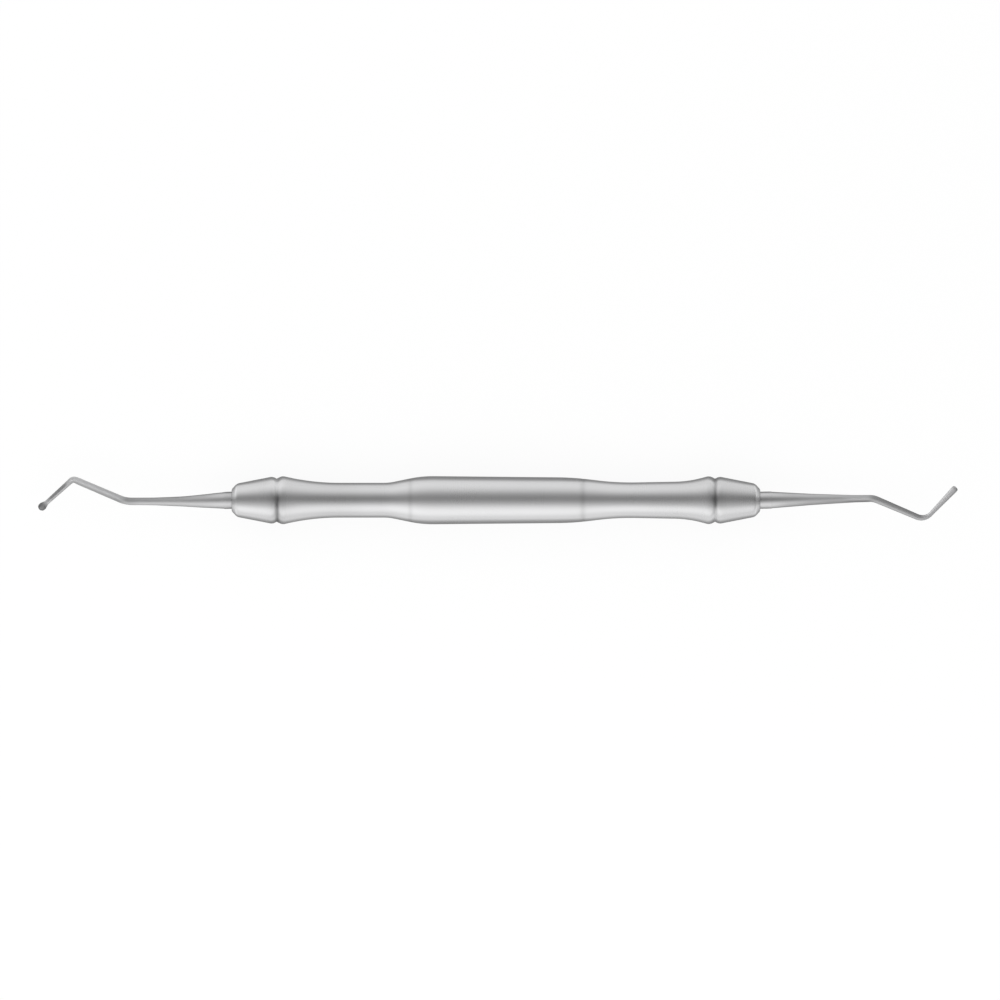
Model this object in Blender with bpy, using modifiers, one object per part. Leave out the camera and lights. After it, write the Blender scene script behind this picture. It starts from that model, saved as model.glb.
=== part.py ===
"""Ball plugger: a double-ended hand instrument that packs filling material into a tooth.

A turned handle holds a bent working end in a bore at each nose. One working end carries a
small ball, the other widens to a round-cornered face. The instrument lies along X on the
plane Z = 0, under the middle of its handle, with both ends bent in the horizontal plane.
All sizes are in metres and all angles in degrees.
"""

import math

import bpy
import numpy as np

# Clearance between a tang and its bore, all round and at the bottom
FIT_GAP = 0.0003

# Tang, common to both working ends
TANG_RADIUS = 0.001625
TANG_LENGTH = 0.012
TANG_CHAMFER = 0.0003

# Handle bores
DRILL_POINT_ANGLE = 118
DRILL_RUN_OUT = 0.001

# Handle noses: a cone with a rounded front, and the V-groove and ridge behind it
HANDLE_LENGTH = 0.1005
NOSE_LENGTH = 0.00855
NOSE_FRONT_LENGTH = 0.00098
NOSE_SHOULDER_RADIUS = 0.00317
NOSE_SHOULDER_ROUND = 0.0015
NOSE_FACE_RADIUS = 0.00209
NOSE_FACE_ROUND = 0.0006
CREST_RADIUS = 0.00452
CREST_SETBACK = 0.0007
CREST_ROUND = 0.0015
GROOVE_RADIUS = 0.0041
GROOVE_ROUND = 0.0001
RIDGE_RADIUS = 0.00464
RIDGE_SETBACK = 0.00105
RIDGE_ROUND = 0.0016

# Handle waists and barrel: the ball's side is at -X, the plugger's side at +X
BALL_WAIST_RADIUS = 0.00331
BALL_FLARE_LENGTH = 0.0067
BALL_FLARE_ROUND = 0.047
BALL_WAIST_ROUND = 0.010
BALL_RISE_LENGTH = 0.00615
BARREL_LENGTH = 0.029
BARREL_OFFSET = 0.00035
BARREL_BALL_RADIUS = 0.0046
BARREL_PLUGGER_RADIUS = 0.004325
BARREL_BALL_ROUND = 0.022
BARREL_PLUGGER_ROUND = 0.053
PLUGGER_RISE_LENGTH = 0.00805
PLUGGER_WAIST_RADIUS = 0.00332
PLUGGER_WAIST_ROUND = 0.052
PLUGGER_FLARE_RADIUS = 0.00357
PLUGGER_FLARE_LENGTH = 0.0051
PLUGGER_FLARE_ROUND = 0.021

# Working ends: the collar left outside the nose, and the step down behind it
COLLAR_STEP = 0.00006
COLLAR_STEP_LENGTH = 0.0002
TAPER_ROUND = 0.06

# Ball end: its axis from the nose outward
BALL_COLLAR_LENGTH = 0.0013
BALL_SHANK_LENGTH = 0.0202
BALL_SHANK_LEAN = 1.7
BALL_SHANK_BOW = 1.9
BALL_SHANK_BOW_RADIUS = 0.2
BALL_SHANK_BOW_DISTANCE = 0.0085
BALL_FIRST_BEND = 22.9
BALL_FIRST_BEND_RADIUS = 0.006
BALL_MIDDLE_LENGTH = 0.01086
BALL_SECOND_BEND = 65.1
BALL_SECOND_BEND_RADIUS = 0.0009
BALL_LAST_LENGTH = 0.00865

# Ball end: its thickness along that axis
BALL_KNEE_DISTANCE = 0.0093
BALL_KNEE_RADIUS = 0.00095
BALL_STEM_DISTANCE = 0.0149
BALL_STEM_RADIUS = 0.00072
BALL_MIDDLE_RADIUS = 0.00065
BALL_LAST_RADIUS = 0.0005
NECK_RADIUS = 0.00042
NECK_ROUND = 0.0012
BALL_RADIUS = 0.00074
BALL_BODY_LENGTH = 0.00015
BALL_CONE_ANGLE = 20
BALL_POLE_RADIUS = 0.00003

# Plugger end: its axis from the nose outward
PLUGGER_COLLAR_LENGTH = 0.0021
PLUGGER_SHANK_LENGTH = 0.0216
PLUGGER_SHANK_LEAN = 0.9
PLUGGER_FIRST_BEND = 23.9
PLUGGER_FIRST_BEND_RADIUS = 0.0035
PLUGGER_MIDDLE_LENGTH = 0.01058
PLUGGER_SECOND_BEND = 69.3
PLUGGER_SECOND_BEND_RADIUS = 0.0024
PLUGGER_LAST_LENGTH = 0.00862

# Plugger end: its thickness along that axis
PLUGGER_KNEE_DISTANCE = 0.0098
PLUGGER_KNEE_RADIUS = 0.00107
PLUGGER_STEM_DISTANCE = 0.0178
PLUGGER_STEM_RADIUS = 0.0007
PLUGGER_MIDDLE_RADIUS = 0.00055
PLUGGER_NECK_RADIUS = 0.00041
FACE_RADIUS = 0.00063
FACE_ROUND = 0.00042

# Length over which a working end changes thickness on each side of its second bend
BEND_BLEND = 0.0012

# Fineness of the facets
HANDLE_FACETS = 48
BAR_BEVEL_RESOLUTION = 8
HANDLE_CHORD_ERROR = 0.000006
BAR_CHORD_ERROR = 0.000002
SAME_POINT = 0.000001


def tangent_lengths(points, radii):
    """How far each corner's arc reaches along its two sides, cut back where arcs would meet."""
    turns = np.zeros(len(points))
    sides = np.diff(points)
    turns[1:-1] = np.angle(sides[1:] / sides[:-1])
    reach = np.asarray(radii) * np.tan(np.abs(turns) / 2)
    room = np.abs(sides) / np.maximum(reach[:-1] + reach[1:], SAME_POINT)
    share = np.ones(len(points))
    share[:-1] = np.minimum(share[:-1], room)
    share[1:] = np.minimum(share[1:], room)
    return turns, reach * share


def rounded(corners, chord_error):
    """The points of a line through corners of (along, across, radius), each rounded by an arc."""
    points = np.array([complex(along, across) for along, across, _ in corners])
    turns, reach = tangent_lengths(points, [radius for _, _, radius in corners])
    line = [points[0]]
    for before, point, turn, length in zip(points, points[1:], turns[1:], reach[1:]):
        direction = (point - before) / abs(point - before)
        start = point - direction * length
        if length < SAME_POINT:
            line.append(point)
            continue
        radius = length / math.tan(abs(turn) / 2)
        step = 2 * math.acos(1 - min(chord_error / radius, 0.5))
        count = max(2, math.ceil(abs(turn) / step))
        centre = start + direction * radius * complex(0, math.copysign(1, turn))
        swing = np.exp(1j * turn * np.arange(count + 1) / count)
        line.extend(centre + (start - centre) * swing)
    kept = [line[0]]
    for point in line[1:]:
        if abs(point - kept[-1]) > SAME_POINT:
            kept.append(point)
    return np.array([(point.real, point.imag) for point in kept])


def steel(name, colour, roughness):
    """A stainless steel finish."""
    material = bpy.data.materials.new(name)
    material.use_nodes = True
    shader = material.node_tree.nodes["Principled BSDF"]
    shader.inputs["Base Color"].default_value = (*colour, 1)
    shader.inputs["Metallic"].default_value = 1
    shader.inputs["Roughness"].default_value = roughness
    return material


def finish(piece, material):
    """Puts a piece in the instrument's collection, with its finish."""
    piece.data.materials.append(material)
    instrument.objects.link(piece)


def turned(name, outline):
    """A solid turned about X, from an outline of (x, radius) points that starts and ends on the axis."""
    mesh = bpy.data.meshes.new(name)
    top_to_bottom = [(radius, 0, x) for x, radius in reversed(outline)]
    edges = [(index, index + 1) for index in range(len(outline) - 1)]
    mesh.from_pydata(top_to_bottom, edges, [])
    piece = bpy.data.objects.new(name, mesh)
    screw = piece.modifiers.new("turning", "SCREW")
    screw.axis = "Z"
    screw.steps = HANDLE_FACETS
    screw.render_steps = HANDLE_FACETS
    screw.use_merge_vertices = True
    screw.merge_threshold = SAME_POINT
    screw.use_smooth_shade = True
    piece.rotation_euler = (0, math.radians(90), 0)
    return piece


def nose_corners():
    """One nose from the ridge behind its groove to its front, before it is drilled.

    The first value of each corner is measured from the handle's middle towards the nose.
    """
    face = HANDLE_LENGTH / 2
    groove = face - NOSE_LENGTH
    return [
        (groove - RIDGE_SETBACK, RIDGE_RADIUS, RIDGE_ROUND),
        (groove, GROOVE_RADIUS, GROOVE_ROUND),
        (groove + CREST_SETBACK, CREST_RADIUS, CREST_ROUND),
        (face - NOSE_FRONT_LENGTH, NOSE_SHOULDER_RADIUS, NOSE_SHOULDER_ROUND),
        (face, NOSE_FACE_RADIUS, NOSE_FACE_ROUND),
        (face, 0, 0),
    ]


def handle_outline():
    """The whole handle's outline, from the ball's side to the plugger's side."""
    nose = nose_corners()
    groove = HANDLE_LENGTH / 2 - NOSE_LENGTH
    barrel_start = BARREL_OFFSET - BARREL_LENGTH / 2
    barrel_end = BARREL_OFFSET + BARREL_LENGTH / 2
    ball_side = [(-along, radius, rounding) for along, radius, rounding in reversed(nose)]
    grip = [
        (BALL_FLARE_LENGTH - groove, BALL_WAIST_RADIUS, BALL_FLARE_ROUND),
        (barrel_start - BALL_RISE_LENGTH, BALL_WAIST_RADIUS, BALL_WAIST_ROUND),
        (barrel_start, BARREL_BALL_RADIUS, BARREL_BALL_ROUND),
        (barrel_end, BARREL_PLUGGER_RADIUS, BARREL_PLUGGER_ROUND),
        (barrel_end + PLUGGER_RISE_LENGTH, PLUGGER_WAIST_RADIUS, PLUGGER_WAIST_ROUND),
        (groove - PLUGGER_FLARE_LENGTH, PLUGGER_FLARE_RADIUS, PLUGGER_FLARE_ROUND),
    ]
    return rounded(ball_side + grip + nose, HANDLE_CHORD_ERROR)


def drill(piece, name, side):
    """Bores a tang's hole into one nose of a piece, to a drill point. The side is -1 or 1."""
    face = HANDLE_LENGTH / 2
    radius = TANG_RADIUS + FIT_GAP
    bottom = face - TANG_LENGTH - FIT_GAP
    point = bottom - radius / math.tan(math.radians(DRILL_POINT_ANGLE / 2))
    bit = turned(name, [(point, 0), (bottom, radius), (face + DRILL_RUN_OUT, radius), (face + DRILL_RUN_OUT, 0)])
    bit.location = piece.location
    if side < 0:
        bit.rotation_euler.y += math.radians(180)
    bit.hide_render = True
    bit.display_type = "WIRE"
    cut = piece.modifiers.new(name, "BOOLEAN")
    cut.operation = "DIFFERENCE"
    cut.solver = "EXACT"
    cut.object = bit
    cutters.objects.link(bit)


def bent_axis(lean, runs):
    """The axis of a working end, from the bottom of its tang to its tip, along X and bent in XY.

    Each run is its length, the radius of the bend that ends it and the angle that it turns left.
    """
    face = HANDLE_LENGTH / 2
    corners = [(face - TANG_LENGTH, 0, 0), (face, 0, 0)]
    heading = lean
    for length, radius, turn in runs:
        x, y, _ = corners[-1]
        x += length * math.cos(math.radians(heading))
        y += length * math.sin(math.radians(heading))
        corners.append((x, y, radius))
        heading += turn
    return rounded(corners, BAR_CHORD_ERROR)


def distances_along(path):
    """The distance of each point of a path from its start."""
    steps = np.linalg.norm(np.diff(path, axis=0), axis=1)
    return np.concatenate([[0], np.cumsum(steps)])


def tang_corners(collar):
    """The outline that both working ends start with: chamfer, tang, collar and the step behind it."""
    collar_end = TANG_LENGTH + collar
    return [
        (0, TANG_RADIUS - TANG_CHAMFER, 0),
        (TANG_CHAMFER, TANG_RADIUS, 0),
        (collar_end, TANG_RADIUS, 0),
        (collar_end + COLLAR_STEP_LENGTH, TANG_RADIUS - COLLAR_STEP, 0),
    ]


def ball_outline(length):
    """The ball end's radius along its axis. The ball runs on into a cone that narrows to the neck."""
    cone = math.radians(BALL_CONE_ANGLE)
    second_bend = TANG_LENGTH + BALL_SHANK_LENGTH + BALL_MIDDLE_LENGTH
    cone_start = length - BALL_BODY_LENGTH - BALL_RADIUS * (1 + math.tan(cone / 2))
    neck = cone_start - (BALL_RADIUS - NECK_RADIUS) / math.tan(cone)
    return tang_corners(BALL_COLLAR_LENGTH) + [
        (TANG_LENGTH + BALL_KNEE_DISTANCE, BALL_KNEE_RADIUS, TAPER_ROUND),
        (TANG_LENGTH + BALL_STEM_DISTANCE, BALL_STEM_RADIUS, TAPER_ROUND),
        (second_bend - BEND_BLEND, BALL_MIDDLE_RADIUS, 0),
        (second_bend + BEND_BLEND, BALL_LAST_RADIUS, 0),
        (neck, NECK_RADIUS, NECK_ROUND),
        (cone_start, BALL_RADIUS, BALL_RADIUS),
        (length, BALL_RADIUS, BALL_RADIUS),
        (length, BALL_POLE_RADIUS, 0),
    ]


def plugger_outline(length):
    """The plugger end's radius along its axis. The tip widens from a neck to its face."""
    second_bend = TANG_LENGTH + PLUGGER_SHANK_LENGTH + PLUGGER_MIDDLE_LENGTH
    return tang_corners(PLUGGER_COLLAR_LENGTH) + [
        (TANG_LENGTH + PLUGGER_KNEE_DISTANCE, PLUGGER_KNEE_RADIUS, TAPER_ROUND),
        (TANG_LENGTH + PLUGGER_STEM_DISTANCE, PLUGGER_STEM_RADIUS, TAPER_ROUND),
        (second_bend - BEND_BLEND, PLUGGER_MIDDLE_RADIUS, 0),
        (second_bend + BEND_BLEND, PLUGGER_NECK_RADIUS, 0),
        (length, FACE_RADIUS, FACE_ROUND),
        (length, FACE_RADIUS - FACE_ROUND, 0),
    ]


def bent_bar(name, path, corners):
    """A round bar along a path, its radius at each distance read from a rounded outline."""
    along = distances_along(path)
    outline = rounded(corners, BAR_CHORD_ERROR)
    stops = [0.0]
    for stop in sorted([*along, *outline[:, 0]]):
        if stop - stops[-1] > SAME_POINT * 10:
            stops.append(stop)
    curve = bpy.data.curves.new(name, "CURVE")
    curve.dimensions = "3D"
    curve.bevel_depth = TANG_RADIUS
    curve.bevel_resolution = BAR_BEVEL_RESOLUTION
    curve.use_fill_caps = True
    spline = curve.splines.new("POLY")
    spline.points.add(len(stops) - 1)
    for point, stop in zip(spline.points, stops):
        x = np.interp(stop, along, path[:, 0])
        y = np.interp(stop, along, path[:, 1])
        point.co = (x, y, 0, 1)
        point.radius = np.interp(stop, outline[:, 0], outline[:, 1]) / TANG_RADIUS
    spline.use_smooth = True
    return bpy.data.objects.new(name, curve)


for old in list(bpy.data.objects):
    bpy.data.objects.remove(old)
instrument = bpy.data.collections.new("ball_plugger")
bpy.context.scene.collection.children.link(instrument)
cutters = bpy.data.collections.new("cutters")
bpy.context.scene.collection.children.link(cutters)

# The handle lies on its largest radius
outline = handle_outline()
axis_height = outline[:, 1].max()
handle = turned("handle", outline.tolist())
handle.location.z = axis_height
finish(handle, steel("handle_steel", (0.62, 0.62, 0.63), 0.32))
drill(handle, "ball_side_bore", -1)
drill(handle, "plugger_side_bore", 1)

ball_runs = [
    (BALL_SHANK_BOW_DISTANCE, BALL_SHANK_BOW_RADIUS, -BALL_SHANK_BOW),
    (BALL_SHANK_LENGTH - BALL_SHANK_BOW_DISTANCE, BALL_FIRST_BEND_RADIUS, -BALL_FIRST_BEND),
    (BALL_MIDDLE_LENGTH, BALL_SECOND_BEND_RADIUS, BALL_SECOND_BEND),
    (BALL_LAST_LENGTH, 0, 0),
]
ball_path = bent_axis(BALL_SHANK_LEAN, ball_runs)
ball_corners = ball_outline(distances_along(ball_path)[-1])
ball_end = bent_bar("ball_end", ball_path, ball_corners)
finish(ball_end, steel("ball_steel", (0.55, 0.55, 0.56), 0.3))
ball_end.location.z = axis_height
ball_end.rotation_euler.z = math.radians(180)

plugger_runs = [
    (PLUGGER_SHANK_LENGTH, PLUGGER_FIRST_BEND_RADIUS, -PLUGGER_FIRST_BEND),
    (PLUGGER_MIDDLE_LENGTH, PLUGGER_SECOND_BEND_RADIUS, PLUGGER_SECOND_BEND),
    (PLUGGER_LAST_LENGTH, 0, 0),
]
plugger_path = bent_axis(PLUGGER_SHANK_LEAN, plugger_runs)
plugger_corners = plugger_outline(distances_along(plugger_path)[-1])
plugger_end = bent_bar("plugger_end", plugger_path, plugger_corners)
finish(plugger_end, steel("plugger_steel", (0.57, 0.57, 0.58), 0.3))
plugger_end.location.z = axis_height
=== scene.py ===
"""A ball plugger in satin stainless steel, lying on a white table in a tent of soft light.

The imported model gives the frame. Its three nodes are replaced by finer turned pieces of the
same sizes. All sizes are in metres and all angles in degrees, unless a name says otherwise.
"""

import math

import bmesh
import bpy
import numpy as np
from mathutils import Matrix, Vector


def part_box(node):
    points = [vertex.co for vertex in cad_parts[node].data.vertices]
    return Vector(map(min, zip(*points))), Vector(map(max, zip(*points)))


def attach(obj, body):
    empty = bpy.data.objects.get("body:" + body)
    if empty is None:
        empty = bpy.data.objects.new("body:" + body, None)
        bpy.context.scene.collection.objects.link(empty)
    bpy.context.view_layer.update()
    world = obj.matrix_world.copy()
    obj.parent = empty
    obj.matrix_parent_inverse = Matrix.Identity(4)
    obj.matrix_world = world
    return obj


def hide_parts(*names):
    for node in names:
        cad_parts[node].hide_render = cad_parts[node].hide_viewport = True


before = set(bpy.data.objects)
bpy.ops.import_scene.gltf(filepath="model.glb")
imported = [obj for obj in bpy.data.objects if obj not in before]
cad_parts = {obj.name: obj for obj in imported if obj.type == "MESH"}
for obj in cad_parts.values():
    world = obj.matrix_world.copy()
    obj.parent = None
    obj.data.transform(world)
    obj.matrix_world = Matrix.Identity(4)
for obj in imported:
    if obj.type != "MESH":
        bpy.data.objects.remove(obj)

# Tang, common to both working ends
TANG_RADIUS = 0.001625
TANG_LENGTH = 0.012
TANG_CHAMFER = 0.0003

# Handle bores: the seam that is seen round each collar, and the drill's point
SEAM_GAP = 0.00005
SEAM_ROUND = 0.00008
DRILL_POINT_ANGLE = 118

# Handle noses
HANDLE_LENGTH = 0.1005
NOSE_LENGTH = 0.00855
NOSE_FRONT_LENGTH = 0.00098
NOSE_SHOULDER_RADIUS = 0.00317
NOSE_SHOULDER_ROUND = 0.0015
NOSE_FACE_RADIUS = 0.00209
NOSE_FACE_ROUND = 0.0006
CREST_RADIUS = 0.00452
CREST_SETBACK = 0.0007
CREST_ROUND = 0.0015
GROOVE_RADIUS = 0.0041
GROOVE_ROUND = 0.0001
RIDGE_RADIUS = 0.00464
RIDGE_SETBACK = 0.00105
RIDGE_ROUND = 0.0016

# Handle waists and barrel
BALL_WAIST_RADIUS = 0.00331
BALL_FLARE_LENGTH = 0.0067
BALL_FLARE_ROUND = 0.047
BALL_WAIST_ROUND = 0.010
BALL_RISE_LENGTH = 0.00615
BARREL_LENGTH = 0.029
BARREL_OFFSET = 0.00035
BARREL_BALL_RADIUS = 0.0046
BARREL_PLUGGER_RADIUS = 0.004325
BARREL_BALL_ROUND = 0.022
BARREL_PLUGGER_ROUND = 0.053
PLUGGER_RISE_LENGTH = 0.00805
PLUGGER_WAIST_RADIUS = 0.00332
PLUGGER_WAIST_ROUND = 0.052
PLUGGER_FLARE_RADIUS = 0.00357
PLUGGER_FLARE_LENGTH = 0.0051
PLUGGER_FLARE_ROUND = 0.021

# Faint turned lines where the barrel meets its shoulders: the place, depth, width and painted shade of each,
# how many widths their points reach to both sides, the number of those points, and the grip they are cut
# into
TURNED_LINES = [
    (-0.01624, 0.000015, 0.00015, 0.11),
    (0.0165, 0.00002, 0.00025, 0.14),
]
LINE_REACH = 3
LINE_POINTS = 25
GRIP_HALF_LENGTH = 0.03

# Working ends
COLLAR_STEP = 0.00006
COLLAR_STEP_LENGTH = 0.0002
TAPER_ROUND = 0.06
BEND_BLEND = 0.0012
BEND_BLEND_ROUND = 0.0096

# Ball end
BALL_COLLAR_LENGTH = 0.0013
BALL_SHANK_LENGTH = 0.0202
BALL_SHANK_LEAN = 1.7
BALL_SHANK_BOW = 1.9
BALL_SHANK_BOW_RADIUS = 0.2
BALL_SHANK_BOW_DISTANCE = 0.0085
BALL_FIRST_BEND = 22.9
BALL_FIRST_BEND_RADIUS = 0.006
BALL_MIDDLE_LENGTH = 0.01086
BALL_SECOND_BEND = 65.1
BALL_SECOND_BEND_RADIUS = 0.0009
BALL_LAST_LENGTH = 0.00865
BALL_KNEE_DISTANCE = 0.0093
BALL_KNEE_RADIUS = 0.00095
BALL_STEM_DISTANCE = 0.0149
BALL_STEM_RADIUS = 0.00072
BALL_MIDDLE_RADIUS = 0.00065
BALL_LAST_RADIUS = 0.0005
NECK_RADIUS = 0.00042
NECK_ROUND = 0.0012
BALL_RADIUS = 0.00074
BALL_BODY_LENGTH = 0.00015
BALL_CONE_ANGLE = 20

# Plugger end
PLUGGER_COLLAR_LENGTH = 0.0021
PLUGGER_SHANK_LENGTH = 0.0216
PLUGGER_SHANK_LEAN = 0.9
PLUGGER_FIRST_BEND = 23.9
PLUGGER_FIRST_BEND_RADIUS = 0.0035
PLUGGER_MIDDLE_LENGTH = 0.01058
PLUGGER_SECOND_BEND = 69.3
PLUGGER_SECOND_BEND_RADIUS = 0.0024
PLUGGER_LAST_LENGTH = 0.00862
PLUGGER_KNEE_DISTANCE = 0.0098
PLUGGER_KNEE_RADIUS = 0.00107
PLUGGER_STEM_DISTANCE = 0.0178
PLUGGER_STEM_RADIUS = 0.0007
PLUGGER_MIDDLE_RADIUS = 0.00055
PLUGGER_NECK_RADIUS = 0.00041
FACE_RADIUS = 0.00063
FACE_ROUND = 0.00042

# Fineness of the turned meshes
HANDLE_SIDES = 112
BAR_SIDES = 56
HANDLE_STEP = 0.0004
BAR_STEP = 0.0003
HANDLE_CHORD_ERROR = 0.000002
BAR_CHORD_ERROR = 0.0000007
LARGEST_CHORD_SHARE = 0.5
SAME_POINT = 0.000001
SAME_PLACE = 0.0000001
WELD = 0.0000002

# Steel: its colour, roughness and edge tint, then its marks, grain and clouds
HANDLE_STEEL = (0.66, 0.66, 0.665, 1)
HANDLE_ROUGHNESS = 0.28
HANDLE_EDGE = 1.0
HANDLE_MARKS = {"Marks along": 16000.0, "Marks around": 30.0, "Mark share": 0.6}
TIP_STEEL = (0.6, 0.6, 0.605, 1)
TIP_EDGE = 0.3
TIP_MARKS = {"Marks along": 300.0, "Marks around": 9000.0, "Mark share": 0.5}
MARK_DEPTH = 0.0000008
MARK_DETAIL = 3.0
GRAIN_SCALE = 14000.0
GRAIN_DETAIL = 2.0
CLOUD_SCALE = 150.0
CLOUD_TONE = 0.05
ROUGHNESS_SPREAD = 0.04

# How far from a bar's middle line its painted side light and shade are reached in full, where 1 is its rim
SIDE_FADE = 0.7

# The handle's tone along it: painted highlights on the nose fronts, and painted shade on the ball's side of
# the grip and towards the plugger's nose
HANDLE_TONES = [
    (-0.0502, 1.3),
    (-0.0495, 1.24),
    (-0.0490, 0.98),
    (-0.038, 0.94),
    (-0.030, 0.9),
    (-0.023, 0.96),
    (-0.016, 1.0),
    (0.017, 1.0),
    (0.0490, 0.94),
    (0.0495, 1.15),
    (0.0502, 1.2),
]

# Softness of the turned lines' painted shade, then each groove's painted shade and rougher bottom, and the
# smoother polished band round it with painted shade of its own
LINE_SPREAD = 0.0003
GROOVE_SPREAD = 0.00035
GROOVE_SHADE = 0.45
GROOVE_DULLING = 0.15
POLISH_SPREAD = 0.0013
POLISH_SHARE = 0.11
POLISH_SHADE = 0.17

# The ball's and the plugger's groove: its end of the handle, how far its painted shade is shifted along,
# that shade at the bar's left and right, and the painted shade of its polished band at left and right
GROOVE_LINES = [
    (-1, 0.00018, 0.02, 0.45, -0.12, 0.15),
    (1, 0.0, 0.32, 0.13, 0.03, -0.02),
]

# A band of painted shade just right of the top on both noses and on the plugger's waist, and its shade along
# the bar
BAND_SIDE = -0.24
BAND_WIDTH = 0.16
BAND_SHADES = [
    (-0.0502, 0.15),
    (-0.0416, 0.14),
    (-0.036, 0.0),
    (0.012, 0.0),
    (0.022, 0.1),
    (0.0416, 0.17),
    (0.0502, 0.17),
]

# Light tent: its size, how its glow fades towards its ends, the dark strip on each end, the slope along X,
# and the glow at angles from the vertical, which are positive towards +Y
TENT_RADIUS = 0.25
TENT_HALF_LENGTH = 0.6
TENT_END_MARGIN = 0.001
TENT_FACETS = 60
TENT_FADE_START = 0.08
TENT_FADE_LEVEL = 0.55
TENT_END_DARK = 0.28
TENT_END_DARK_WIDTH = 0.1
TENT_SLOPE = 0.4
TENT_BRIGHTEST = 1.5
TENT_GLOW = [
    (-90, 0.95),
    (-75, 1.2),
    (-60, 1.3),
    (-45, 1.22),
    (-30, 0.95),
    (-15, 0.58),
    (0, 0.34),
    (10, 0.3),
    (22, 0.36),
    (35, 0.55),
    (50, 0.82),
    (65, 0.98),
    (80, 1.05),
    (90, 1.0),
]

# Table, room and fill light: their whites and levels, and the share of the shadow that the table keeps
WHITE = (1, 1, 1, 1)
TABLE_COLOUR = (0.9, 0.9, 0.9, 1)
TABLE_HALF_SIZE = 4.0
SHADOW_SHARE = 0.1
ROOM_LEVEL = 0.25
FILL_LEVEL = 1.2
FILL_ANGLE = 120

# The shaded patch that the metal sees on the table: its level, its reach and shift across, and its width at
# each distance from the handle's middle
SHADE_LEVEL = 0.3
SHADE_INNER = 0.008
SHADE_OUTER = 0.032
SHADE_SHIFT = 0.0015
SHADE_WIDTHS = [
    (0.0, 0.97),
    (0.0145, 0.97),
    (0.021, 0.62),
    (0.036, 0.6),
    (0.042, 0.76),
    (0.05, 0.69),
    (0.055, 0.4),
    (0.07, 0.45),
    (0.2, 1.6),
]

# Camera
IMAGE_PIXELS = 1000
PIXEL = 0.0001902
IMAGE_CENTRE_X = 0.00078
IMAGE_CENTRE_Y = 0.00004
LENS_MM = 300
SENSOR_MM = 36
CLIP_START = 0.01
CLIP_END = 100.0


# Outlines

def tangent_lengths(points, radii):
    """How each line turns at its corners, and how far each arc reaches, cut back where arcs would meet."""
    turns = np.zeros(len(points))
    sides = np.diff(points)
    turns[1:-1] = np.angle(sides[1:] / sides[:-1])
    reach = np.asarray(radii) * np.tan(np.abs(turns) / 2)
    room = np.abs(sides) / np.maximum(reach[:-1] + reach[1:], SAME_POINT)
    share = np.ones(len(points))
    share[:-1] = np.minimum(share[:-1], room)
    share[1:] = np.minimum(share[1:], room)
    return turns, reach * share


def rounded(corners, chord_error, longest_step):
    """A line through corners of (along, across, radius), each rounded, with its straights divided."""
    points = np.array([complex(along, across) for along, across, _ in corners])
    turns, reach = tangent_lengths(points, [radius for _, _, radius in corners])
    line = [points[0]]
    for before, point, turn, length in zip(points, points[1:], turns[1:], reach[1:]):
        direction = (point - before) / abs(point - before)
        start = point - direction * length
        if length < SAME_POINT:
            line.append(point)
            continue
        radius = length / math.tan(abs(turn) / 2)
        step = 2 * math.acos(1 - min(chord_error / radius, LARGEST_CHORD_SHARE))
        count = max(2, math.ceil(abs(turn) / step))
        centre = start + direction * radius * complex(0, math.copysign(1, turn))
        swing = np.exp(1j * turn * np.arange(count + 1) / count)
        line.extend(centre + (start - centre) * swing)
    kept = [line[0]]
    for point in line[1:]:
        gap = abs(point - kept[-1])
        if gap > SAME_POINT:
            pieces = math.ceil(gap / longest_step)
            kept.extend(kept[-1] + (point - kept[-1]) * np.arange(1, pieces + 1) / pieces)
    return np.array([(point.real, point.imag) for point in kept])


def nose_corners():
    """One nose, from the ridge behind its groove, over its front and down to the bottom of its bore."""
    face = HANDLE_LENGTH / 2
    groove = face - NOSE_LENGTH
    bore = TANG_RADIUS + SEAM_GAP
    bottom = face - TANG_LENGTH - SEAM_GAP
    point = bottom - bore / math.tan(math.radians(DRILL_POINT_ANGLE / 2))
    return [
        (groove - RIDGE_SETBACK, RIDGE_RADIUS, RIDGE_ROUND),
        (groove, GROOVE_RADIUS, GROOVE_ROUND),
        (groove + CREST_SETBACK, CREST_RADIUS, CREST_ROUND),
        (face - NOSE_FRONT_LENGTH, NOSE_SHOULDER_RADIUS, NOSE_SHOULDER_ROUND),
        (face, NOSE_FACE_RADIUS, NOSE_FACE_ROUND),
        (face, bore, SEAM_ROUND),
        (bottom, bore, 0),
        (point, 0, 0),
    ]


def handle_corners():
    """The handle from the bottom of the ball's bore, over its outside, to that of the plugger's bore."""
    nose = nose_corners()
    groove = HANDLE_LENGTH / 2 - NOSE_LENGTH
    barrel_start = BARREL_OFFSET - BARREL_LENGTH / 2
    barrel_end = BARREL_OFFSET + BARREL_LENGTH / 2
    ball_side = [(-along, radius, rounding) for along, radius, rounding in reversed(nose)]
    grip = [
        (BALL_FLARE_LENGTH - groove, BALL_WAIST_RADIUS, BALL_FLARE_ROUND),
        (barrel_start - BALL_RISE_LENGTH, BALL_WAIST_RADIUS, BALL_WAIST_ROUND),
        (barrel_start, BARREL_BALL_RADIUS, BARREL_BALL_ROUND),
        (barrel_end, BARREL_PLUGGER_RADIUS, BARREL_PLUGGER_ROUND),
        (barrel_end + PLUGGER_RISE_LENGTH, PLUGGER_WAIST_RADIUS, PLUGGER_WAIST_ROUND),
        (groove - PLUGGER_FLARE_LENGTH, PLUGGER_FLARE_RADIUS, PLUGGER_FLARE_ROUND),
    ]
    return ball_side + grip + nose


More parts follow.
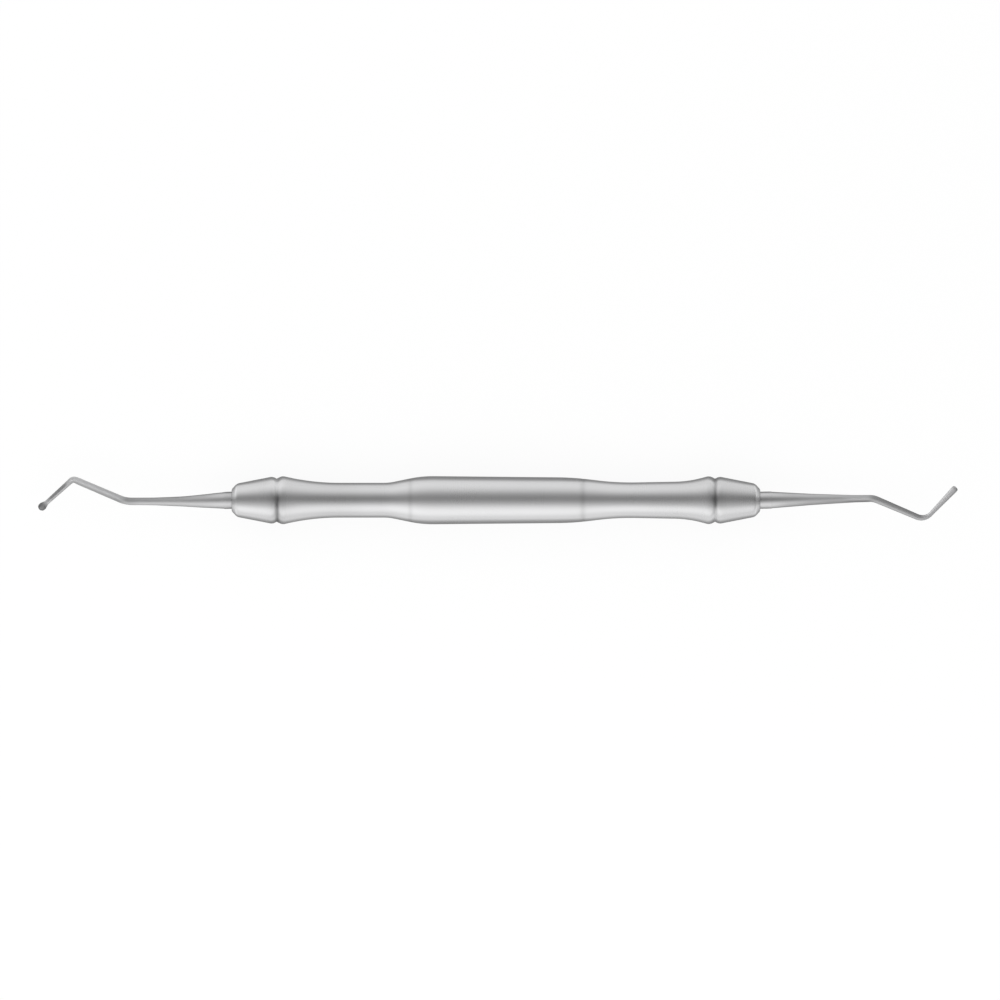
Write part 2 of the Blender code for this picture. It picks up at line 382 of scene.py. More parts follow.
def with_turned_lines(outline):
    """The handle's outline with the two soft lines cut into its grip."""
    first, last = np.flatnonzero(np.abs(outline[:, 0]) < GRIP_HALF_LENGTH)[[0, -1]]
    grip = outline[first:last + 1]
    along = grip[:, 0]
    for place, _, width, _ in TURNED_LINES:
        along = np.union1d(along, place + width * np.linspace(-LINE_REACH, LINE_REACH, LINE_POINTS))
    radii = np.interp(along, grip[:, 0], grip[:, 1])
    for place, depth, width, _ in TURNED_LINES:
        radii -= depth * np.exp(-((along - place) / width) ** 2)
    return np.vstack([outline[:first], np.column_stack([along, radii]), outline[last + 1:]])


def bent_axis(lean, runs):
    """The axis of a working end from the bottom of its tang, along X, with its bends in XY."""
    face = HANDLE_LENGTH / 2
    corners = [(face - TANG_LENGTH, 0, 0), (face, 0, 0)]
    heading = lean
    for length, radius, turn in runs:
        x, y, _ = corners[-1]
        x += length * math.cos(math.radians(heading))
        y += length * math.sin(math.radians(heading))
        corners.append((x, y, radius))
        heading += turn
    return rounded(corners, BAR_CHORD_ERROR, BAR_STEP)


def distances_along(path):
    """The distance of each point of a path from its start."""
    steps = np.linalg.norm(np.diff(path, axis=0), axis=1)
    return np.concatenate([[0], np.cumsum(steps)])


def tang_corners(collar):
    """The outline that both working ends start with: tang, collar and the step behind it."""
    collar_end = TANG_LENGTH + collar
    return [
        (0, 0, 0),
        (0, TANG_RADIUS - TANG_CHAMFER, 0),
        (TANG_CHAMFER, TANG_RADIUS, 0),
        (collar_end, TANG_RADIUS, COLLAR_STEP_LENGTH / 2),
        (collar_end + COLLAR_STEP_LENGTH, TANG_RADIUS - COLLAR_STEP, COLLAR_STEP_LENGTH / 2),
    ]


def ball_corners(length):
    """The ball end's radius along its axis, for an axis of that length."""
    cone = math.radians(BALL_CONE_ANGLE)
    second_bend = TANG_LENGTH + BALL_SHANK_LENGTH + BALL_MIDDLE_LENGTH
    cone_start = length - BALL_BODY_LENGTH - BALL_RADIUS * (1 + math.tan(cone / 2))
    neck = cone_start - (BALL_RADIUS - NECK_RADIUS) / math.tan(cone)
    return tang_corners(BALL_COLLAR_LENGTH) + [
        (TANG_LENGTH + BALL_KNEE_DISTANCE, BALL_KNEE_RADIUS, TAPER_ROUND),
        (TANG_LENGTH + BALL_STEM_DISTANCE, BALL_STEM_RADIUS, TAPER_ROUND),
        (second_bend - BEND_BLEND, BALL_MIDDLE_RADIUS, BEND_BLEND_ROUND),
        (second_bend + BEND_BLEND, BALL_LAST_RADIUS, BEND_BLEND_ROUND),
        (neck, NECK_RADIUS, NECK_ROUND),
        (cone_start, BALL_RADIUS, BALL_RADIUS),
        (length, BALL_RADIUS, BALL_RADIUS),
        (length, 0, 0),
    ]


def plugger_corners(length):
    """The plugger end's radius along its axis, for an axis of that length."""
    second_bend = TANG_LENGTH + PLUGGER_SHANK_LENGTH + PLUGGER_MIDDLE_LENGTH
    return tang_corners(PLUGGER_COLLAR_LENGTH) + [
        (TANG_LENGTH + PLUGGER_KNEE_DISTANCE, PLUGGER_KNEE_RADIUS, TAPER_ROUND),
        (TANG_LENGTH + PLUGGER_STEM_DISTANCE, PLUGGER_STEM_RADIUS, TAPER_ROUND),
        (second_bend - BEND_BLEND, PLUGGER_MIDDLE_RADIUS, BEND_BLEND_ROUND),
        (second_bend + BEND_BLEND, PLUGGER_NECK_RADIUS, BEND_BLEND_ROUND),
        (length, FACE_RADIUS, FACE_ROUND),
        (length, 0, 0),
    ]


# Skeletons

def linked_object(name, data):
    """An object that shows some data in the scene."""
    made = bpy.data.objects.new(name, data)
    bpy.context.scene.collection.objects.link(made)
    return made


def skeleton(name, centres, across, radii, along):
    """The axis points of a turned piece, with the radius, sideways direction and distance at each."""
    mesh = bpy.data.meshes.new(name)
    mesh.from_pydata(centres, [], [])
    for label, kind, field, values in [
        ("radius", "FLOAT", "value", radii),
        ("along", "FLOAT", "value", along),
        ("across", "FLOAT_VECTOR", "vector", across),
    ]:
        attribute = mesh.attributes.new(label, kind, "POINT")
        attribute.data.foreach_set(field, np.ravel(values).astype(np.float32))
    return linked_object(name, mesh)


def handle_skeleton(height):
    """The handle's outline, hung on its straight axis."""
    outline = with_turned_lines(rounded(handle_corners(), HANDLE_CHORD_ERROR, HANDLE_STEP))
    count = len(outline)
    centres = np.column_stack([outline[:, 0], np.zeros(count), np.full(count, height)])
    across = np.tile([0.0, 1.0, 0.0], (count, 1))
    return skeleton("turned_handle", centres, across, outline[:, 1], outline[:, 0])


def bar_skeleton(name, path, corners, height, heading):
    """A working end's outline, hung on its bent axis. The heading is 1 along +X, or -1 turned about."""
    along = distances_along(path)
    outline = rounded(corners(along[-1]), BAR_CHORD_ERROR, BAR_STEP)
    places = [0.0]
    radii = [outline[0, 1]]
    stops = np.union1d(along, outline[:, 0])
    for stop in stops:
        same = np.abs(outline[:, 0] - stop) < SAME_PLACE
        values = outline[same, 1] if same.any() else [np.interp(stop, outline[:, 0], outline[:, 1])]
        for value in values:
            if stop - places[-1] > SAME_POINT * 2 or abs(value - radii[-1]) > SAME_POINT:
                places.append(stop)
                radii.append(value)
    places = np.array(places)
    x = np.interp(places, along, path[:, 0]) * heading
    y = np.interp(places, along, path[:, 1]) * heading
    aim = np.gradient(path, along, axis=0)
    aim_x = np.interp(places, along, aim[:, 0]) * heading
    aim_y = np.interp(places, along, aim[:, 1]) * heading
    size = np.hypot(aim_x, aim_y)
    across = np.column_stack([-aim_y / size, aim_x / size, np.zeros(len(places))])
    centres = np.column_stack([x, y, np.full(len(places), height)])
    return skeleton(name, centres, across, radii, places)


# Nodes

def add_node(tree, kind, inputs=None, **settings):
    """Adds a node, sets its properties, and fills its inputs with values or with other outputs."""
    made = tree.nodes.new(kind)
    for key, value in settings.items():
        setattr(made, key, value)
    for key, value in (inputs or {}).items():
        if isinstance(value, bpy.types.NodeSocket):
            tree.links.new(value, made.inputs[key])
        else:
            made.inputs[key].default_value = value
    return made


def calc(tree, operation, first, second=0.0, third=0.0):
    """A Math node's output."""
    made = add_node(tree, "ShaderNodeMath", {0: first, 1: second, 2: third}, operation=operation)
    return made.outputs[0]


def whole_calc(tree, operation, first, second):
    """An Integer Math node's output."""
    made = add_node(tree, "FunctionNodeIntegerMath", {0: first, 1: second}, operation=operation)
    return made.outputs[0]


def vector_calc(tree, operation, inputs):
    """A Vector Math node's first output, a vector."""
    return add_node(tree, "ShaderNodeVectorMath", inputs, operation=operation).outputs[0]


def combined(tree, parts):
    """A vector from its X, Y and Z parts, where a part that isn't given is 0."""
    return add_node(tree, "ShaderNodeCombineXYZ", parts).outputs[0]


def separated(tree, vector):
    """The X, Y and Z parts of a vector."""
    return add_node(tree, "ShaderNodeSeparateXYZ", {0: vector}).outputs


def new_tree(name, kind, inputs, outputs):
    """A node group with its sockets, its input node and its output node."""
    tree = bpy.data.node_groups.new(name, kind)
    for label, socket, value in inputs:
        made = tree.interface.new_socket(label, in_out="INPUT", socket_type=socket)
        if value is not None:
            made.default_value = value
    for label, socket in outputs:
        tree.interface.new_socket(label, in_out="OUTPUT", socket_type=socket)
    return tree, tree.nodes.new("NodeGroupInput").outputs, tree.nodes.new("NodeGroupOutput").inputs


def fade(tree, value, start, end, first, last):
    """A value that goes softly from first to last while another goes from start to end."""
    made = add_node(
        tree,
        "ShaderNodeMapRange",
        {"Value": value, "From Min": start, "From Max": end, "To Min": first, "To Max": last},
        interpolation_type="SMOOTHSTEP",
    )
    return made.outputs[0]


def bell(tree, value, middle, width):
    """A soft mask that is 1 where a value is at the middle, and fades within a width to both sides."""
    offset = calc(tree, "DIVIDE", calc(tree, "SUBTRACT", value, middle), width)
    return calc(tree, "EXPONENT", calc(tree, "MULTIPLY", calc(tree, "MULTIPLY", offset, offset), -1.0))


def ramp(tree, share, marks, interpolation):
    """A value that follows a share from 0 to 1, from a list of (share, value)."""
    made = add_node(tree, "ShaderNodeValToRGB", {0: share})
    made.color_ramp.interpolation = interpolation
    elements = made.color_ramp.elements
    while len(elements) < len(marks):
        elements.new(0.5)
    for element, (position, value) in zip(elements, marks):
        element.position = position
        element.color = (value, value, value, 1)
    return made.outputs[0]


def eased(tree, place, stops):
    """A value that changes softly from place to place, from a list of (place, value)."""
    start, end = stops[0][0], stops[-1][0]
    share = calc(tree, "DIVIDE", calc(tree, "SUBTRACT", place, start), end - start)
    marks = [((stop - start) / (end - start), value) for stop, value in stops]
    return ramp(tree, share, marks, "EASE")


# Turning

def turned_piece_tree():
    """Turns a skeleton of axis points into a closed surface."""
    tree, given, result = new_tree(
        "turned_piece",
        "GeometryNodeTree",
        [
            ("Skeleton", "NodeSocketGeometry", None),
            ("Sides", "NodeSocketInt", BAR_SIDES),
            ("Finish", "NodeSocketMaterial", None),
        ],
        [("Piece", "NodeSocketGeometry")],
    )
    size = add_node(tree, "GeometryNodeAttributeDomainSize", {"Geometry": given["Skeleton"]})
    columns = whole_calc(tree, "ADD", given["Sides"], 1)
    grid = add_node(
        tree,
        "GeometryNodeMeshGrid",
        {"Vertices X": size.outputs["Point Count"], "Vertices Y": columns},
    )
    index = add_node(tree, "GeometryNodeInputIndex").outputs[0]
    row = whole_calc(tree, "DIVIDE_FLOOR", index, columns)
    column = whole_calc(tree, "MODULO", index, columns)

    def sampled(value, kind):
        """A value of the skeleton's point that this row stands on."""
        picked = add_node(
            tree,
            "GeometryNodeSampleIndex",
            {"Geometry": given["Skeleton"], "Value": value, "Index": row},
            data_type=kind,
            domain="POINT",
        )
        return picked.outputs["Value"]

    def named(name, kind):
        """A named value of the skeleton's point that this row stands on."""
        value = add_node(tree, "GeometryNodeInputNamedAttribute", {"Name": name}, data_type=kind)
        return sampled(value.outputs["Attribute"], kind)

    centre = sampled(add_node(tree, "GeometryNodeInputPosition").outputs[0], "FLOAT_VECTOR")
    across = named("across", "FLOAT_VECTOR")
    along = named("along", "FLOAT")
    radius = named("radius", "FLOAT")
    angle = calc(tree, "MULTIPLY", calc(tree, "DIVIDE", column, given["Sides"]), -2 * math.pi)
    sideways = calc(tree, "MULTIPLY", calc(tree, "COSINE", angle), radius)
    upward = calc(tree, "MULTIPLY", calc(tree, "SINE", angle), radius)
    shift = vector_calc(tree, "SCALE", {0: across, "Scale": sideways})
    offset = vector_calc(tree, "ADD", {0: shift, 1: combined(tree, {"Z": upward})})
    place = vector_calc(tree, "ADD", {0: centre, 1: offset})
    kept = add_node(
        tree,
        "GeometryNodeStoreNamedAttribute",
        {
            "Geometry": grid.outputs["Mesh"],
            "Name": "place_on_bar",
            "Value": combined(tree, {"X": along, "Y": sideways, "Z": upward}),
        },
        data_type="FLOAT_VECTOR",
        domain="POINT",
    )
    surface = kept.outputs[0]
    for kind, settings in [
        ("GeometryNodeSetPosition", {"Position": place}),
        ("GeometryNodeMergeByDistance", {"Distance": WELD}),
        ("GeometryNodeSetShadeSmooth", {"Shade Smooth": True}),
        ("GeometryNodeRealizeInstances", {}),
        ("GeometryNodeSetMaterial", {"Material": given["Finish"]}),
    ]:
        surface = add_node(tree, kind, {"Geometry": surface, **settings}).outputs[0]
    tree.links.new(surface, result["Piece"])
    return tree


def turn(piece, tree, sizes):
    """Runs the tree on a skeleton and leaves a plain closed mesh whose faces point outwards."""
    modifier = piece.modifiers.new("turning", "NODES")
    modifier.node_group = tree
    for item in tree.interface.items_tree:
        if item.item_type == "SOCKET" and item.in_out == "INPUT" and item.name in sizes:
            modifier[item.identifier] = sizes[item.name]
    bpy.context.view_layer.update()
    graph = bpy.context.evaluated_depsgraph_get()
    mesh = bpy.data.meshes.new_from_object(piece.evaluated_get(graph), depsgraph=graph)
    piece.modifiers.remove(modifier)
    piece.data = mesh
    return piece


def check_closed(mesh):
    """Stops the script if a turned mesh has an open edge or faces that point inwards."""
    surface = bmesh.new()
    surface.from_mesh(mesh)
    open_edges = sum(not edge.is_manifold for edge in surface.edges)
    inside = surface.calc_volume(signed=True)
    surface.free()
    if open_edges or inside <= 0:
        raise ValueError(f"{mesh.name}: {open_edges} open edges, volume {inside}")


# Steel

def satin_steel_group():
    """Colour, roughness and height of satin steel, from a place on the bar and the size of its marks."""
    tree, given, result = new_tree(
        "satin_steel",
        "ShaderNodeTree",
        [
            ("Place", "NodeSocketVector", None),
            ("Steel", "NodeSocketColor", HANDLE_STEEL),
            ("Tone", "NodeSocketFloat", 1.0),
            ("Roughness", "NodeSocketFloat", HANDLE_ROUGHNESS),
            ("Marks along", "NodeSocketFloat", None),
            ("Marks around", "NodeSocketFloat", None),
            ("Mark share", "NodeSocketFloat", None),
            ("Cloud scale", "NodeSocketFloat", CLOUD_SCALE),
            ("Cloud tone", "NodeSocketFloat", CLOUD_TONE),
            ("Roughness spread", "NodeSocketFloat", ROUGHNESS_SPREAD),
        ],
        [
            ("Colour", "NodeSocketColor"),
            ("Roughness", "NodeSocketFloat"),
            ("Height", "NodeSocketFloat"),
        ],
    )

    def noise(place, scale, detail):
        """Soft noise from 0 to 1."""
        inputs = {"Vector": place, "Scale": scale, "Detail": detail}
        return add_node(tree, "ShaderNodeTexNoise", inputs).outputs[0]

    around = given["Marks around"]
    stretch = combined(tree, {"X": given["Marks along"], "Y": around, "Z": around})
    marks = noise(vector_calc(tree, "MULTIPLY", {0: given["Place"], 1: stretch}), 1.0, MARK_DETAIL)
    grain = noise(given["Place"], GRAIN_SCALE, GRAIN_DETAIL)
    clouds = noise(given["Place"], given["Cloud scale"], MARK_DETAIL)
    share = calc(tree, "MULTIPLY", marks, given["Mark share"])
    rest = calc(tree, "MULTIPLY", grain, calc(tree, "SUBTRACT", 1.0, given["Mark share"]))
    height = calc(tree, "ADD", share, rest)
    swing = calc(tree, "SUBTRACT", clouds, 0.5)
    cloudy = calc(tree, "MULTIPLY_ADD", swing, given["Cloud tone"], 1.0)
    tone = calc(tree, "MULTIPLY", cloudy, given["Tone"])
    fine = calc(tree, "SUBTRACT", height, 0.5)
    uneven = calc(tree, "MULTIPLY", calc(tree, "ADD", swing, fine), given["Roughness spread"])
    colour = vector_calc(tree, "SCALE", {0: given["Steel"], "Scale": tone})
    tree.links.new(colour, result["Colour"])
    tree.links.new(calc(tree, "ADD", given["Roughness"], uneven), result["Roughness"])
    tree.links.new(height, result["Height"])
    return tree


def steel_material(name, group, steel, edge, marks, painted_light_and_roughness):
    """A satin steel finish: an edge value under 1 darkens its rims, and a function gives its tone, with
    painted light and shade, and its roughness.
    """
    material = bpy.data.materials.new(name)
    material.use_nodes = True
    tree = material.node_tree
    shader = tree.nodes["Principled BSDF"]
    attribute = add_node(
        tree, "ShaderNodeAttribute", attribute_name="place_on_bar", attribute_type="GEOMETRY"
    )
    place = attribute.outputs["Vector"]
    tone, roughness = painted_light_and_roughness(tree, place)
    satin = add_node(
        tree,
        "ShaderNodeGroup",
        {"Place": place, "Steel": steel, "Tone": tone, "Roughness": roughness, **marks},
        node_tree=group,
    )
    bump = add_node(
        tree, "ShaderNodeBump", {"Strength": 1.0, "Distance": MARK_DEPTH, "Height": satin.outputs["Height"]}
    )
    shader.inputs["Metallic"].default_value = 1.0
    shader.inputs["Specular Tint"].default_value = (edge, edge, edge, 1)
    tree.links.new(satin.outputs["Colour"], shader.inputs["Base Color"])
    tree.links.new(satin.outputs["Roughness"], shader.inputs["Roughness"])
    tree.links.new(bump.outputs["Normal"], shader.inputs["Normal"])
    return material


def place_and_side(tree, place):
    """How far along the bar a place is, and its side: 1 at the bar's left, 0 on top, -1 at its right."""
    apart = separated(tree, place)
    ring = combined(tree, {"Y": apart["Y"], "Z": apart["Z"]})
    radius = add_node(tree, "ShaderNodeVectorMath", {0: ring}, operation="LENGTH").outputs["Value"]
    return apart["X"], calc(tree, "DIVIDE", apart["Y"], calc(tree, "MAXIMUM", radius, SAME_POINT))


def across_bar(tree, side, left, middle, right):
    """A value that changes softly across a bar, from its left over its middle to its right."""
    leftness = fade(tree, side, 0.0, SIDE_FADE, 0.0, 1.0)
    rightness = fade(tree, side, 0.0, -SIDE_FADE, 0.0, 1.0)
    value = calc(tree, "MULTIPLY_ADD", calc(tree, "SUBTRACT", left, middle), leftness, middle)
    return calc(tree, "MULTIPLY_ADD", calc(tree, "SUBTRACT", right, middle), rightness, value)


def handle_painted_light_and_roughness(tree, place):
    """Tone and roughness of the handle: painted highlights and shade along it, painted shade in and round
    the grooves, on a band beside the top and along the turned lines, and polished grooves with rougher
    bottoms.
    """
    along, side = place_and_side(tree, place)
    groove_place = HANDLE_LENGTH / 2 - NOSE_LENGTH
    # Painted shade on a band just right of the top
    painted_shade = calc(tree, "MULTIPLY", bell(tree, side, BAND_SIDE, BAND_WIDTH), eased(tree, along, BAND_SHADES))
    # Painted shade in each groove and in the polished band round it, stronger or weaker at the bar's sides
    for end, shift, left, right, left_band, right_band in GROOVE_LINES:
        line_place = end * groove_place + shift
        shade = across_bar(tree, side, left, GROOVE_SHADE, right)
        band_shade = across_bar(tree, side, left_band, POLISH_SHADE, right_band)
        painted_shade = calc(tree, "MULTIPLY_ADD", bell(tree, along, line_place, GROOVE_SPREAD), shade, painted_shade)
        painted_shade = calc(tree, "MULTIPLY_ADD", bell(tree, along, line_place, POLISH_SPREAD), band_shade, painted_shade)
    # Painted shade along the turned lines
    for line_place, _, width, shade in TURNED_LINES:
        painted_shade = calc(tree, "MULTIPLY_ADD", bell(tree, along, line_place, width + LINE_SPREAD), shade, painted_shade)
    # The tone along the handle paints highlights on the fronts and shade along the grip
    tone = calc(tree, "MULTIPLY", eased(tree, along, HANDLE_TONES), calc(tree, "SUBTRACT", 1.0, painted_shade))
    from_middle = calc(tree, "ABSOLUTE", along)
    groove = bell(tree, from_middle, groove_place, GROOVE_SPREAD)
    polish = bell(tree, from_middle, groove_place, POLISH_SPREAD)
    smooth = calc(tree, "MULTIPLY_ADD", polish, -POLISH_SHARE, HANDLE_ROUGHNESS)
    return tone, calc(tree, "MULTIPLY_ADD", groove, GROOVE_DULLING, smooth)


def tip_painted_light_and_roughness(stops):
    """A working end's painted light and shade and its roughness, from a list of (distance, tones at left,
    middle and right, roughness).
    """
    distances, *columns = zip(*stops)

    def painted_light_and_roughness(tree, place):
        """Tone and roughness at a place on the bar."""
        along, side = place_and_side(tree, place)
        # Painted light and shade: the tones differ from side to side round the bar
        left, middle, right, roughness = (
            eased(tree, along, list(zip(distances, column))) for column in columns
        )
        return across_bar(tree, side, left, middle, right), roughness

    return painted_light_and_roughness


def ball_stops():
    """The ball end's tones and roughness: painted shade at the shank's right, painted highlight between the
    bends, and painted shade on the ball.
    """
    first_bend = TANG_LENGTH + BALL_SHANK_LENGTH
    second_bend = first_bend + BALL_MIDDLE_LENGTH
    end = second_bend + BALL_LAST_LENGTH
    return [
        (TANG_LENGTH, 0.88, 0.95, 0.84, 0.38),
        (TANG_LENGTH + 0.002, 0.95, 0.99, 0.96, 0.42),
        (TANG_LENGTH + 0.006, 0.92, 1.02, 0.8, 0.48),
        (TANG_LENGTH + 0.011, 0.88, 1.1, 0.66, 0.51),
        (first_bend - 0.003, 0.98, 0.98, 0.7, 0.56),
        (first_bend - 0.0004, 0.92, 0.88, 0.68, 0.62),
        (first_bend + 0.0014, 0.88, 1.38, 1.18, 0.85),
        (first_bend + 0.003, 0.96, 1.46, 1.19, 0.85),
        (second_bend + 0.0004, 0.98, 1.48, 1.24, 0.8),
        (second_bend + 0.0023, 0.92, 0.7, 0.56, 0.5),
        (end - 0.0036, 0.86, 0.7, 0.58, 0.5),
        (end - 0.0022, 1.1, 1.12, 1.1, 0.6),
        (end - 0.0012, 0.58, 0.74, 0.52, 0.8),
        (end, 0.54, 0.7, 0.52, 0.8),
    ]


def plugger_stops():
    """The plugger end's tones and roughness: painted shade at its left between the bends, then painted
    highlight up to a painted dark rim.
    """
    first_bend = TANG_LENGTH + PLUGGER_SHANK_LENGTH
    second_bend = first_bend + PLUGGER_MIDDLE_LENGTH
    end = second_bend + PLUGGER_LAST_LENGTH
    return [
        (TANG_LENGTH, 0.98, 0.78, 1.0, 0.36),
        (TANG_LENGTH + 0.002, 0.98, 0.86, 1.0, 0.38),
        (TANG_LENGTH + 0.006, 0.9, 0.92, 0.78, 0.44),
        (TANG_LENGTH + 0.01, 0.94, 1.0, 0.67, 0.52),
        (first_bend - 0.007, 1.0, 1.03, 0.66, 0.62),
        (first_bend - 0.004, 0.99, 1.3, 0.54, 0.66),
        (first_bend - 0.0015, 0.94, 1.34, 0.52, 0.65),
        (first_bend + 0.0003, 0.64, 0.84, 0.84, 0.62),
        (first_bend + 0.002, 0.56, 0.88, 0.9, 0.62),
        (second_bend - 0.0014, 0.54, 0.86, 0.86, 0.62),
        (second_bend + 0.0012, 1.54, 1.26, 0.94, 0.75),
        (end - 0.0014, 1.5, 1.28, 0.9, 0.75),
        (end - 0.0006, 0.95, 1.0, 0.78, 0.7),
        (end - 0.0002, 0.6, 0.75, 0.5, 0.6),
        (end, 0.5, 0.6, 0.45, 0.6),
    ]


# Studio

def bare_material(name):
    """A material whose node tree is empty."""
    material = bpy.data.materials.new(name)
    material.use_nodes = True
    material.node_tree.nodes.clear()
    return material


def emission(tree, colour, strength):
    """An Emission shader."""
    return add_node(tree, "ShaderNodeEmission", {"Color": colour, "Strength": strength}).outputs[0]


def mixed_shader(tree, share, first, second):
    """A mix of two shaders, with a share of the second."""
    return add_node(tree, "ShaderNodeMixShader", {0: share, 1: first, 2: second}).outputs[0]


def ray_masks(tree):
    """Masks of the rays that see a thing directly, or through glass, and of those that metal reflects."""
    rays = add_node(tree, "ShaderNodeLightPath").outputs
    return calc(tree, "MAXIMUM", rays["Is Camera Ray"], rays["Is Transmission Ray"]), rays["Is Glossy Ray"]


def white_table():
    """A white floor that keeps a soft share of the object's shadow."""
    half = TABLE_HALF_SIZE
    corners = [(-half, -half, 0), (half, -half, 0), (half, half, 0), (-half, half, 0)]
    mesh = bpy.data.meshes.new("white_table")
    mesh.from_pydata(corners, [], [(0, 1, 2, 3)])
    table = linked_object("white_table", mesh)
    material = bare_material("table_white")
    material.cycles.emission_sampling = "NONE"
    tree = material.node_tree
    seen, reflected = ray_masks(tree)
    matt = add_node(tree, "ShaderNodeBsdfDiffuse", {"Color": TABLE_COLOUR}).outputs[0]
    with_shadow = mixed_shader(tree, SHADOW_SHARE, emission(tree, WHITE, 1.0), matt)
    apart = separated(tree, add_node(tree, "ShaderNodeTexCoord").outputs["Object"])
    # Reflections see a painted shadow: a dim patch on the table along the handle, shifted towards +Y
    width = eased(tree, calc(tree, "ABSOLUTE", apart["X"]), SHADE_WIDTHS)
    across = calc(tree, "DIVIDE", apart["Y"], width)
    away = calc(tree, "ABSOLUTE", calc(tree, "SUBTRACT", across, SHADE_SHIFT))
    clear = fade(tree, away, SHADE_INNER, SHADE_OUTER, SHADE_LEVEL, 1.0)
    direct = mixed_shader(tree, seen, matt, with_shadow)
    surface = mixed_shader(tree, reflected, direct, emission(tree, WHITE, clear))
    add_node(tree, "ShaderNodeOutputMaterial", {"Surface": surface})
    mesh.materials.append(material)


def studio_world():
    """A dim room for the shadows, and white behind everything for the camera and the metal."""
    world = bpy.data.worlds.new("studio")
    bpy.context.scene.world = world
    world.use_nodes = True
    world.cycles.sampling_method = "NONE"
    tree = world.node_tree
    tree.nodes.clear()
    seen, reflected = ray_masks(tree)
    in_view = calc(tree, "MAXIMUM", seen, reflected)
    room, white = (
        add_node(tree, "ShaderNodeBackground", {"Color": WHITE, "Strength": level}).outputs[0]
        for level in (ROOM_LEVEL, 1.0)
    )
    add_node(tree, "ShaderNodeOutputWorld", {"Surface": mixed_shader(tree, in_view, room, white)})


def light_tent():
    """A half-round tent of light over the instrument, dim overhead, that the camera doesn't see."""
    angles = np.radians(np.linspace(-90, 90, TENT_FACETS + 1))
    points = []
    for x in (-TENT_HALF_LENGTH, TENT_HALF_LENGTH):
        points += [(x, TENT_RADIUS * math.sin(angle), TENT_RADIUS * math.cos(angle)) for angle in angles]
    row = len(angles)
    faces = [(facet, facet + 1, row + facet + 1, row + facet) for facet in range(TENT_FACETS)]
    faces += [tuple(range(row)), tuple(range(row, 2 * row))]
    mesh = bpy.data.meshes.new("light_tent")
    mesh.from_pydata(points, [], faces)
    tent = linked_object("light_tent", mesh)
    material = bare_material("tent_cloth")
    tree = material.node_tree
    apart = separated(tree, add_node(tree, "ShaderNodeTexCoord").outputs["Object"])
    angle = calc(tree, "ARCTAN2", apart["Y"], apart["Z"])
    share = calc(tree, "ADD", calc(tree, "DIVIDE", angle, math.pi), 0.5)
    marks = [(degrees / 180 + 0.5, level / TENT_BRIGHTEST) for degrees, level in TENT_GLOW]
    from_middle = calc(tree, "ABSOLUTE", apart["X"])
    ends = fade(tree, from_middle, TENT_FADE_START, TENT_HALF_LENGTH, 1.0, TENT_FADE_LEVEL)
    lean = calc(tree, "SUBTRACT", 1.0, calc(tree, "MULTIPLY", apart["X"], TENT_SLOPE))
    strength = calc(tree, "MULTIPLY", calc(tree, "MULTIPLY", ends, lean), TENT_BRIGHTEST)
    glow = emission(tree, ramp(tree, share, marks, "CARDINAL"), strength)
    sideways = calc(tree, "ABSOLUTE", apart["Y"])
    dark = fade(tree, sideways, TENT_END_DARK_WIDTH / 2, TENT_RADIUS, TENT_END_DARK, 1.0)
    on_end = calc(tree, "GREATER_THAN", from_middle, TENT_HALF_LENGTH - TENT_END_MARGIN)
    cloth = mixed_shader(tree, on_end, glow, emission(tree, WHITE, dark))
    add_node(tree, "ShaderNodeOutputMaterial", {"Surface": cloth})
    mesh.materials.append(material)
    tent.visible_camera = False
    tent.visible_shadow = False


def sky_fill():
    """Soft light from above for the table and its shadow, which the metal doesn't reflect."""
    light = bpy.data.lights.new("sky_fill", "SUN")
    light.energy = FILL_LEVEL * math.pi
    light.angle = math.radians(FILL_ANGLE)
    linked_object("sky_fill", light).visible_glossy = False


def camera_overhead(height):
    """A camera that looks straight down from far off, as the photograph was taken."""
    camera = bpy.data.cameras.new("camera")
    camera.lens = LENS_MM
    camera.sensor_width = SENSOR_MM
    camera.clip_start = CLIP_START
    camera.clip_end = CLIP_END
    eye = linked_object("camera", camera)
    away = IMAGE_PIXELS * PIXEL * LENS_MM / SENSOR_MM
    eye.location = (IMAGE_CENTRE_X, IMAGE_CENTRE_Y, height + away)
    bpy.context.scene.camera = eye


# The instrument

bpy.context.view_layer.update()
low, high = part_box("handle")
axis_height = (low.z + high.z) / 2

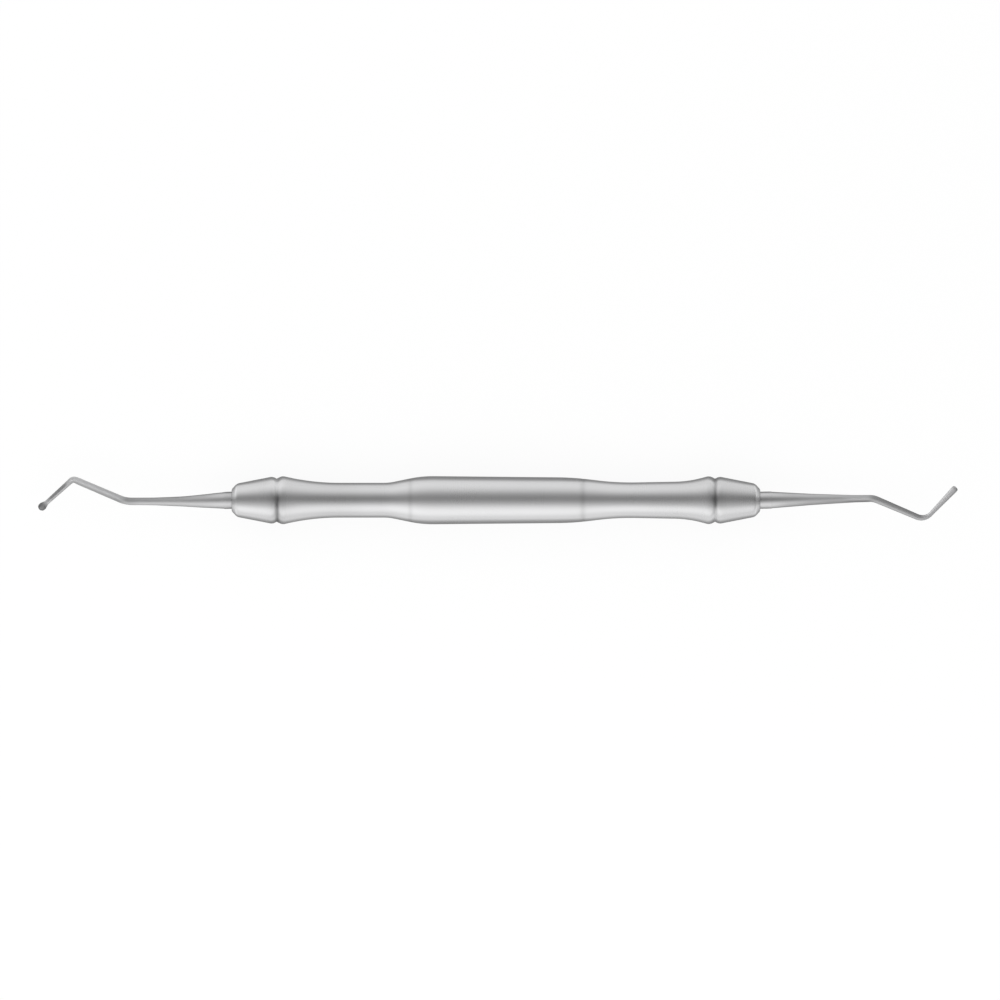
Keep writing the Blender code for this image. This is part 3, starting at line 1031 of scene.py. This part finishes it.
ball_path = bent_axis(
    BALL_SHANK_LEAN,
    [
        (BALL_SHANK_BOW_DISTANCE, BALL_SHANK_BOW_RADIUS, -BALL_SHANK_BOW),
        (BALL_SHANK_LENGTH - BALL_SHANK_BOW_DISTANCE, BALL_FIRST_BEND_RADIUS, -BALL_FIRST_BEND),
        (BALL_MIDDLE_LENGTH, BALL_SECOND_BEND_RADIUS, BALL_SECOND_BEND),
        (BALL_LAST_LENGTH, 0, 0),
    ],
)
plugger_path = bent_axis(
    PLUGGER_SHANK_LEAN,
    [
        (PLUGGER_SHANK_LENGTH, PLUGGER_FIRST_BEND_RADIUS, -PLUGGER_FIRST_BEND),
        (PLUGGER_MIDDLE_LENGTH, PLUGGER_SECOND_BEND_RADIUS, PLUGGER_SECOND_BEND),
        (PLUGGER_LAST_LENGTH, 0, 0),
    ],
)

satin = satin_steel_group()
handle_finish = steel_material(
    "handle_satin_steel", satin, HANDLE_STEEL, HANDLE_EDGE, HANDLE_MARKS, handle_painted_light_and_roughness
)
ball_finish = steel_material(
    "ball_end_satin_steel", satin, TIP_STEEL, TIP_EDGE, TIP_MARKS, tip_painted_light_and_roughness(ball_stops())
)
plugger_finish = steel_material(
    "plugger_end_satin_steel", satin, TIP_STEEL, TIP_EDGE, TIP_MARKS, tip_painted_light_and_roughness(plugger_stops())
)

turning = turned_piece_tree()
handle = turn(
    handle_skeleton(axis_height),
    turning,
    {"Sides": HANDLE_SIDES, "Finish": handle_finish},
)
ball_end = turn(
    bar_skeleton("ball_working_end", ball_path, ball_corners, axis_height, -1),
    turning,
    {"Sides": BAR_SIDES, "Finish": ball_finish},
)
plugger_end = turn(
    bar_skeleton("plugger_working_end", plugger_path, plugger_corners, axis_height, 1),
    turning,
    {"Sides": BAR_SIDES, "Finish": plugger_finish},
)
for piece, node, slot in [
    (handle, "handle", "handle_steel"),
    (ball_end, "ball_end", "tip_steel"),
    (plugger_end, "plugger_end", "tip_steel"),
]:
    check_closed(piece.data)
    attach(piece, "root")
    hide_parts(node)

white_table()
studio_world()
sky_fill()
light_tent()
camera_overhead(axis_height)
bpy.context.scene.view_settings.view_transform = "Standard"
